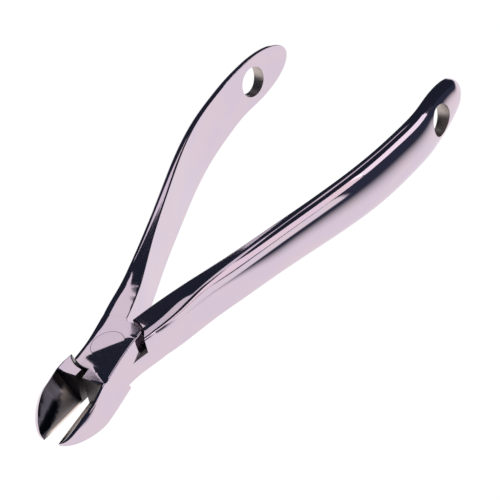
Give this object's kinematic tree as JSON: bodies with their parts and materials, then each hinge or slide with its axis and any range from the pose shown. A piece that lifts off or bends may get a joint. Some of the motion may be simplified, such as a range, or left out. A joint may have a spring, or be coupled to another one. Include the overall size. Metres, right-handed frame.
{
  "type": "nail nipper",
  "caption": "Lap-joint nail nipper: crossed polished-steel levers on a flush rivet, with short hollow-ground cutting jaws and bowed handles with hanging holes.",
  "frame": {"origin": "centre of the rivet's lower head, flush with the flat back of the joint", "axes": "+X along the centre line from the joint to the handles, +Y to the upper lever's handle, +Z along the rivet from the flush back to the hollow-ground face"},
  "size_m": [0.1252, 0.058, 0.0125],
  "materials": {
    "polished_steel": "mirror-polished stainless steel, finely ground in the jaw hollows",
    "rivet_steel": "polished flush with the joint"
  },
  "bodies": {
    "lower": {"lower_lever": "polished_steel", "pivot_rivet": "rivet_steel"},
    "upper": {"upper_lever": "polished_steel"}
  },
  "joints": [
    {"name": "nipper_pivot", "type": "hinge", "parent": "lower", "child": "upper", "pos_m": [0, 0, 0], "axis": [0, 0, 1], "range_deg": [-10.2, 50]}
  ]
}
